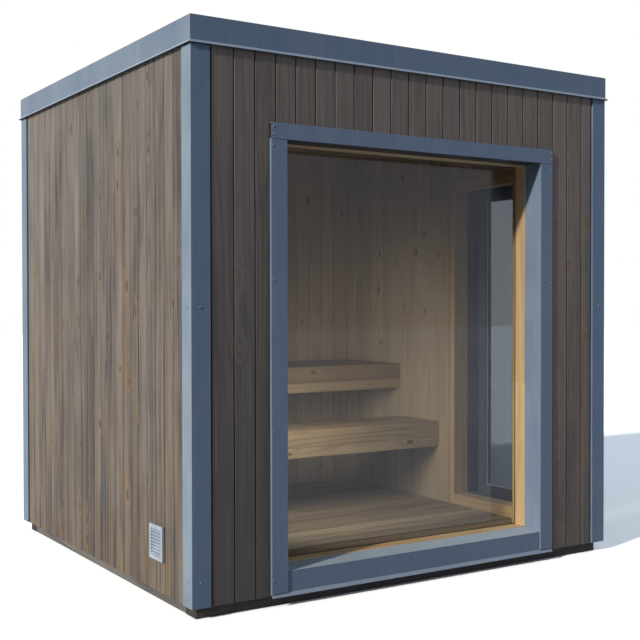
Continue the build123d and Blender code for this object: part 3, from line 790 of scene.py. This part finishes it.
def window_bars():
    """Four pine bars around the window's glass; the upright ones are glued up of three lengths."""
    low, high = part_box("window_frame")
    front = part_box("window_casing_jambs")[1].y
    boards = Boards()
    shade = Vector(BAR_SHADE)
    for low_x, high_x in ((low.x, low.x + BAR_WIDTH), (high.x - BAR_WIDTH, high.x)):
        ends = [low.z, *BAR_JOINTS, high.z]
        for index, (foot, top) in enumerate(zip(ends, ends[1:])):
            look = shade + Vector((BAR_STEP * (index % 2), 0.0, 0.0))
            slants = [0.0 if end in (ends[0], ends[-1]) else BAR_SLANT for end in (foot, top)]
            boards.bar((low_x, front, foot), (high_x, high.y, top), 2, look, BAR_EASE, slants)
    for low_z, high_z, look in ((low.z, low.z + BAR_WIDTH, shade),
                                (high.z - BAR_WIDTH, high.z, Vector(HEAD_BAR_SHADE))):
        boards.bar((low.x + BAR_WIDTH, front, low_z), (high.x - BAR_WIDTH, high.y, high_z), 0,
                   look, BAR_EASE)
    boards.finish("window_frame_bars", frame_pine, "frame_wood", ["window_frame"])


def window_seal():
    """The black seal between the window's bars and its pane."""
    low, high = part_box("window_frame")
    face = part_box("window_glass")[0].y
    seals = Boards()
    edge_strips(seals, (low.x + BAR_WIDTH, face - SEAL_WIDTH, low.z + BAR_WIDTH),
                (high.x - BAR_WIDTH, face, high.z - BAR_WIDTH), SEAL_WIDTH, 0,
                Vector(EVEN_SHADE), STRIP_EASE)
    seals.finish("window_seal", seal, "frame_wood")


def sill_upstands():
    """Small tabs that close the wedge between the sloping sill and each end of the reveal."""
    low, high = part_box("window_sill")
    front_y = low.y + SILL_KICK
    back_y = high.y - TAB_BACK
    points = []
    faces = []
    for x0, x1 in ((low.x + CASING_FACE - TAB_THICKNESS, low.x + CASING_FACE + TAB_STAND),
                   (high.x - CASING_FACE - TAB_STAND, high.x - CASING_FACE + TAB_THICKNESS)):
        start = len(points)
        for x in (x0, x1):
            points += [(x, front_y, high.z - SILL_SLOPE), (x, back_y, high.z),
                       (x, back_y, high.z + TAB_LAP), (x, front_y, high.z + TAB_LAP)]
        for index in range(4):
            after = (index + 1) % 4
            faces.append((start + index, start + after, start + 4 + after, start + 4 + index))
        faces += [tuple(range(start, start + 4)), tuple(range(start + 7, start + 3, -1))]
    data = bpy.data.meshes.new("sill_upstands")
    data.from_pydata(points, [], faces)
    add_piece("sill_upstands", data, casing_paint)


def doorway_boards():
    """Wooden jambs, head and threshold inside the doorway."""
    low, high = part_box("door_reveal")
    near, far = low.y + BAR_WIDTH, high.y - BAR_WIDTH
    boards = Boards()
    # paler and warmer than the window's bars: painted light
    shade = Vector(LIT_DOORWAY_SHADE)
    boards.bar(low, (high.x, near, high.z), 2, shade, PLANK_EASE)
    boards.bar((low.x, far, low.z), high, 2, shade, PLANK_EASE)
    boards.bar((low.x, near, high.z - BAR_WIDTH), (high.x, far, high.z), 1, shade, PLANK_EASE)
    boards.bar((low.x, near, low.z), (high.x, far, KERB_TOP), 1, shade, PLANK_EASE)
    boards.finish("doorway_boards", frame_pine, "lining_wood", ["door_reveal"])


def roof_laps():
    """Raised laps where one strip of the roof's membrane covers the next."""
    low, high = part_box("roof_sheet")
    laps = Boards()
    count = int((high.y - low.y) // STRIP_COVER)
    for index in range(count):
        edge = (low.y + high.y) / 2 + STRIP_COVER * (index - (count - 1) / 2)
        laps.bar((low.x + LAP_THICKNESS, edge, high.z - LAP_THICKNESS),
                 (high.x - LAP_THICKNESS, edge + LAP_WIDTH, high.z + LAP_THICKNESS), 0,
                 Vector(EVEN_SHADE), LAP_THICKNESS / 2)
    laps.finish("roof_laps", membrane, "roof_membrane")


def door_beads():
    """Slim pale beads around the door's glass, on the room's side."""
    low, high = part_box("door_glass")
    beads = Boards()
    edge_strips(beads, (low.x - BEAD_DEPTH, low.y + GLASS_GRIP, low.z + GLASS_GRIP),
                (low.x, high.y - GLASS_GRIP, high.z - GLASS_GRIP), BEAD_WIDTH, 1,
                Vector(EVEN_SHADE), STRIP_EASE)
    beads.finish("door_glazing_beads", bead_paint, "door_metal", body="door")


def screw_head(mesh, place, normal):
    """A low domed head on a thin washer, with a recess in its crown."""
    turn = normal.to_track_quat("Z", "Y")
    rings = []
    for radius, height in SCREW_RINGS:
        ring = []
        for step in range(SCREW_SIDES):
            angle = step * math.tau / SCREW_SIDES
            point = Vector((math.cos(angle) * radius * SCREW_RADIUS,
                            math.sin(angle) * radius * SCREW_RADIUS, height * SCREW_HEIGHT))
            ring.append(mesh.verts.new(place + turn @ point))
        rings.append(ring)
    for inner, outer in zip(rings[1:], rings):
        for step in range(SCREW_SIDES):
            after = (step + 1) % SCREW_SIDES
            mesh.faces.new((outer[step], outer[after], inner[after], inner[step]))
    mesh.faces.new(rings[-1])


def screw_spots():
    """Places and directions of the screws in the corner trims and around the window."""
    low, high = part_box("corner_trims")
    casing_low, casing_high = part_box("window_casing_jambs")
    head_low, head_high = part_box("window_casing_head")
    spots = []
    for height in [low.z + rise for rise in TRIM_SCREWS]:
        for x in (low.x + TRIM_INSET, high.x - TRIM_INSET):
            spots.append(((x, low.y, height), (0, -1, 0)))
            spots.append(((x, high.y, height), (0, 1, 0)))
        for y in (low.y + TRIM_INSET, high.y - TRIM_INSET):
            spots.append(((low.x, y, height), (-1, 0, 0)))
            spots.append(((high.x, y, height), (1, 0, 0)))
    for height in [low.z + rise for rise in CASING_SCREWS]:
        for x in (casing_low.x + CASING_INSET, casing_high.x - CASING_INSET):
            spots.append(((x, casing_low.y, height), (0, -1, 0)))
    end_inset, edge_inset = HEAD_INSETS
    for x in (head_low.x + end_inset, head_high.x - end_inset):
        for height in (head_low.z + edge_inset, head_high.z - edge_inset):
            spots.append(((x, head_low.y, height), (0, -1, 0)))
    return spots


def fixings():
    """The screw heads, as one piece."""
    mesh = bmesh.new()
    for place, normal in screw_spots():
        screw_head(mesh, Vector(place), Vector(normal))
    bmesh.ops.recalc_face_normals(mesh, faces=mesh.faces)
    data = bpy.data.meshes.new("trim_screws")
    mesh.to_mesh(data)
    mesh.free()
    for face in data.polygons:
        face.use_smooth = True
    add_piece("trim_screws", data, slate)


def ease_edges(node, width):
    """Rounds the folds and edges of a node a little, so that they catch the light."""
    piece = nodes[node]
    weld = piece.modifiers.new("weld", "WELD")
    weld.merge_threshold = WELD_DISTANCE
    flat = piece.modifiers.new("flat", "DECIMATE")
    flat.decimate_type = "DISSOLVE"
    flat.angle_limit = math.radians(FLAT_ANGLE)
    ease = piece.modifiers.new("ease", "BEVEL")
    ease.width = width
    ease.segments = 2
    ease.limit_method = "ANGLE"
    ease.angle_limit = math.radians(FOLD_ANGLE)
    even = piece.modifiers.new("even", "WEIGHTED_NORMAL")
    even.weight = 100
    even.keep_sharp = True


def dress_nodes():
    """Materials for the nodes whose own shape is shown."""
    finishes = {
        slate: ["fascia_front", "fascia_back", "fascia_left", "fascia_right", "corner_trims"],
        casing_paint: ["window_casing_head", "window_casing_jambs", "window_sill",
                       "door_casing_head", "door_casing_jambs", "door_sill"],
        door_paint: ["door_frame", "door_leaf"],
        window_pane: ["window_glass"],
        door_pane: ["door_glass"],
        steel: ["door_handles", "hinge_pins", "hinge_leaves"],
        vent_finish: ["vent_grille"],
        membrane: ["roof_sheet", "roof_slab"],
        panel: ["floor_deck", "front_wall", "back_wall", "left_wall", "right_wall_front",
                "right_wall_rear", "right_wall_over_door"],
    }
    for material, names in finishes.items():
        for name in names:
            data = nodes[name].data
            data.materials.clear()
            data.materials.append(material)
    for name in finishes[slate] + finishes[casing_paint]:
        ease_edges(name, FOLD_ROUND)
    for name in finishes[door_paint]:
        ease_edges(name, LEAF_ROUND)


def add_camera():
    """The camera that took the picture."""
    forward = Vector((math.sin(CAMERA_YAW) * math.cos(CAMERA_PITCH),
                      math.cos(CAMERA_YAW) * math.cos(CAMERA_PITCH), math.sin(CAMERA_PITCH)))
    level = Vector((math.cos(CAMERA_YAW), -math.sin(CAMERA_YAW), 0.0))
    rise = level.cross(forward)
    across = level * math.cos(CAMERA_ROLL) + rise * math.sin(CAMERA_ROLL)
    upward = across.cross(forward)
    data = bpy.data.cameras.new("camera")
    data.sensor_width = SENSOR_WIDTH
    data.lens = FOCAL_PIXELS / FRAME_PIXELS * SENSOR_WIDTH
    camera = bpy.data.objects.new("camera", data)
    turn = Matrix((across, upward, -forward)).transposed().to_4x4()
    camera.matrix_world = Matrix.Translation(CAMERA_PLACE) @ turn
    bpy.context.scene.collection.objects.link(camera)
    bpy.context.scene.camera = camera


def add_lamp(name, kind, place, travel, **settings):
    """A lamp at a place, shining along its travel."""
    data = bpy.data.lights.new(name, kind)
    for key, value in settings.items():
        setattr(data, key, value)
    lamp = bpy.data.objects.new(name, data)
    lamp.location = place
    lamp.rotation_mode = "QUATERNION"
    lamp.rotation_quaternion = Vector(travel).to_track_quat("-Z", "Y")
    bpy.context.scene.collection.objects.link(lamp)
    return lamp


def add_light():
    """A key from the high left, a soft fill from behind and a low light in the room."""
    add_lamp("key", "SUN", SUN_PLACE, SUN_TRAVEL, energy=SUN_STRENGTH, color=SUN_COLOUR,
             angle=math.radians(SUN_SPREAD))
    add_lamp("fill", "SUN", SUN_PLACE, FILL_TRAVEL, energy=FILL_STRENGTH, color=FILL_COLOUR,
             angle=math.radians(FILL_SPREAD))
    room = add_lamp("room", "AREA", ROOM_LAMP, ROOM_TRAVEL, energy=ROOM_POWER, color=ROOM_COLOUR,
                    shape="RECTANGLE", size=ROOM_SIZE[0], size_y=ROOM_SIZE[1],
                    spread=math.radians(ROOM_SPREAD))
    room.visible_camera = False
    room.visible_glossy = False
    room.visible_transmission = False


def add_surround():
    """White to the camera and in reflections, and a dim blue sky as light."""
    world = bpy.data.worlds.new("surround")
    bpy.context.scene.world = world
    graph = Graph(world)
    path = graph.node("ShaderNodeLightPath").outputs
    seen = graph.math("MAXIMUM", path["Is Camera Ray"], path["Is Glossy Ray"])
    seen = graph.math("MAXIMUM", seen, path["Is Transmission Ray"])
    sky = graph.node("ShaderNodeBackground", {"Color": SKY_COLOUR, "Strength": SKY_LEVEL})
    white = graph.node("ShaderNodeBackground", {"Color": WHITE, "Strength": 1.0})
    mixed = graph.node("ShaderNodeMixShader", {0: seen, 1: sky.outputs[0], 2: white.outputs[0]})
    graph.output(mixed.outputs[0], "ShaderNodeOutputWorld")


def add_floor():
    """A wide pale floor that fades into the white surround and keeps the shadow."""
    graph = Graph(bpy.data.materials.new("pale_floor"))
    path = graph.node("ShaderNodeLightPath").outputs
    seen = graph.math("MAXIMUM", path["Is Camera Ray"], path["Is Glossy Ray"])
    shade = graph.mix(seen, FLOOR_LIT, FLOOR_SEEN)
    graph.output(graph.node("ShaderNodeBsdfDiffuse", {"Color": shade}).outputs[0])
    data = bpy.data.meshes.new("floor")
    corners = [(-FLOOR_REACH, -FLOOR_REACH, 0), (FLOOR_REACH, -FLOOR_REACH, 0),
               (FLOOR_REACH, FLOOR_REACH, 0), (-FLOOR_REACH, FLOOR_REACH, 0)]
    data.from_pydata(corners, [], [(0, 1, 2, 3)])
    data.materials.append(graph.holder)
    floor = bpy.data.objects.new("floor", data)
    bpy.context.scene.collection.objects.link(floor)


outer_walls()
inner_walls()
seats()
bench_fronts()
floor_boards()
straight_timbers("bench_cleats", "bench_cleat_bars", bench_wood, "bench_wood", 1, (0.3, 0.7))
# The long beams stay near black as painted shade, and the side beams pale as painted sunlight.
straight_timbers("base_long_beams", "base_long_timbers", base_timber, "dark_timber", 0, (0.0, 0.15))
straight_timbers("base_side_beams", "base_side_timbers", base_timber, "dark_timber", 1, (0.58, 0.7))
straight_timbers("floor_joists", "floor_joist_timbers", base_timber, "dark_timber", 1, (0.1, 0.4))
window_bars()
window_seal()
sill_upstands()
doorway_boards()
door_beads()
roof_laps()
fixings()
dress_nodes()
add_camera()
add_light()
add_surround()
add_floor()
bpy.context.scene.view_settings.view_transform = "Standard"
